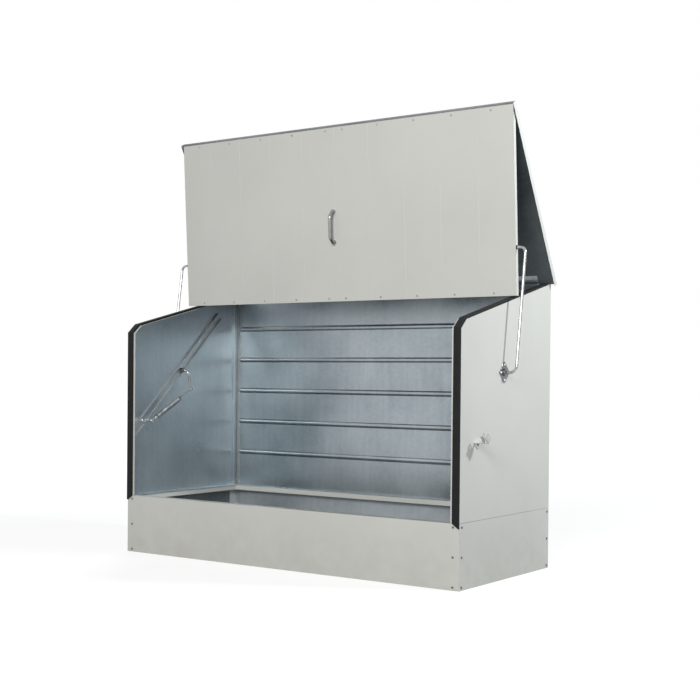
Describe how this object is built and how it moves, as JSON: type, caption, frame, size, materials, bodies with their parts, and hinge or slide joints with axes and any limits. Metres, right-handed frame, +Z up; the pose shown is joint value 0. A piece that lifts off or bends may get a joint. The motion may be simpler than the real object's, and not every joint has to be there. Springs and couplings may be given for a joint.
{
  "type": "bicycle shelter",
  "caption": "Low steel bicycle shelter with a sloping roof and hanging front door that lift together on cranked side rods with assist springs.",
  "frame": {"origin": "on the ground under the middle of the box", "axes": "+X to the right seen from the front, +Y to the rear, +Z up"},
  "size_m": [2.083, 0.8706, 2.1339],
  "materials": {
    "paint": "light warm grey factory paint, satin",
    "galvanised": "bare galvanised sheet, faint spangle",
    "rubber": "black edge seal, matt",
    "dark_steel": "dark grey painted plate",
    "zinc_rod": "bright zinc-plated round bar",
    "spring_steel": "drawn wire, oiled",
    "nylon": "black moulded nylon",
    "chrome": "polished chrome plate",
    "screws": "zinc-plated pan heads"
  },
  "bodies": {
    "box": {"floor_pan": "galvanised", "front_sill": "paint", "lower_back": "paint", "upper_back": "paint", "rear_hinge_leaf": "galvanised", "rear_hinge_pin": "galvanised", "base_screws_front": "screws", "base_screws_rear": "screws", "bearing_rivets": "screws", "catch_rivets": "screws", "rear_hinge_screws": "screws", "lower_side_left": "paint", "lower_side_right": "paint", "upper_side_left": "paint", "upper_side_right": "paint", "edge_strip_left": "rubber", "edge_strip_right": "rubber", "side_brace_left": "galvanised", "side_brace_right": "galvanised", "pivot_bearing_left": "dark_steel", "pivot_bearing_right": "dark_steel", "rod_catch_left": "paint", "rod_catch_right": "paint", "spring_stud_left": "zinc_rod", "spring_stud_right": "zinc_rod", "corner_bracket_front_left": "galvanised", "corner_bracket_front_right": "galvanised", "corner_bracket_rear_left": "galvanised", "corner_bracket_rear_right": "galvanised"},
    "roof": {"roof_skin": "paint", "roof_rear_leaf": "galvanised", "roof_front_leaf": "galvanised", "roof_rib_1": "galvanised", "roof_rib_2": "galvanised", "roof_rib_3": "galvanised", "roof_rivets": "screws"},
    "rod_left": {"lift_rod_left": "zinc_rod", "rod_clip_left": "zinc_rod"},
    "rod_right": {"lift_rod_right": "zinc_rod", "rod_clip_right": "zinc_rod"},
    "door": {"door_skin": "paint", "door_hinge_leaf": "galvanised", "door_hinge_pin": "galvanised", "door_top_rail": "galvanised", "door_foot_rail": "galvanised", "door_handle": "chrome", "handle_screws": "screws", "rod_bush_left": "nylon", "rod_bush_right": "nylon", "door_top_rivets": "screws", "door_foot_screws": "screws"},
    "spring_left": {"spring_eye_left": "zinc_rod", "assist_spring_left": "spring_steel"},
    "spring_right": {"spring_eye_right": "zinc_rod", "assist_spring_right": "spring_steel"},
    "drawbar_left": {"spring_drawbar_left": "zinc_rod"},
    "drawbar_right": {"spring_drawbar_right": "zinc_rod"}
  },
  "joints": [
    {"name": "roof_hinge", "type": "hinge", "parent": "box", "child": "roof", "pos_m": [0, 0.428, 1.34913], "axis": [1, 0, 0], "range_deg": [0, 74.82]},
    {"name": "rod_pivot_left", "type": "hinge", "parent": "box", "child": "rod_left", "pos_m": [0, -0.03885, 0.92441], "axis": [1, 0, 0], "range_deg": [0, 145.6]},
    {"name": "rod_pivot_right", "type": "hinge", "parent": "box", "child": "rod_right", "pos_m": [0, -0.03885, 0.92441], "axis": [1, 0, 0], "range_deg": [0, 145.6]},
    {"name": "door_pivot", "type": "hinge", "parent": "rod_right", "child": "door", "pos_m": [0, 0.04088, 1.48666], "axis": [1, 0, 0], "range_deg": [-149, 0]},
    {"name": "spring_swing_left", "type": "hinge", "parent": "box", "child": "spring_left", "pos_m": [0, -0.3227, 0.66425], "axis": [1, 0, 0], "range_deg": [0, 19.56]},
    {"name": "spring_draw_left", "type": "slide", "parent": "spring_left", "child": "drawbar_left", "axis": [0, 0.8825, 0.4703], "range_m": [0, 0.13235], "deforming": ["assist_spring_left"]},
    {"name": "spring_swing_right", "type": "hinge", "parent": "box", "child": "spring_right", "pos_m": [0, -0.3227, 0.66425], "axis": [1, 0, 0], "range_deg": [0, 19.56]},
    {"name": "spring_draw_right", "type": "slide", "parent": "spring_right", "child": "drawbar_right", "axis": [0, 0.8825, 0.4703], "range_m": [0, 0.13235], "deforming": ["assist_spring_right"]}
  ],
  "couplings": [
    {"joint": "rod_pivot_left", "follows": "roof_hinge", "ratio": 1.9458},
    {"joint": "rod_pivot_right", "follows": "roof_hinge", "ratio": 1.9458},
    {"joint": "door_pivot", "follows": "roof_hinge", "ratio": -1.9913},
    {"joint": "spring_swing_left", "follows": "roof_hinge", "ratio": 0.26123},
    {"joint": "spring_draw_left", "follows": "roof_hinge", "m_per_rad": 0.10132},
    {"joint": "spring_swing_right", "follows": "roof_hinge", "ratio": 0.26123},
    {"joint": "spring_draw_right", "follows": "roof_hinge", "m_per_rad": 0.10132}
  ]
}
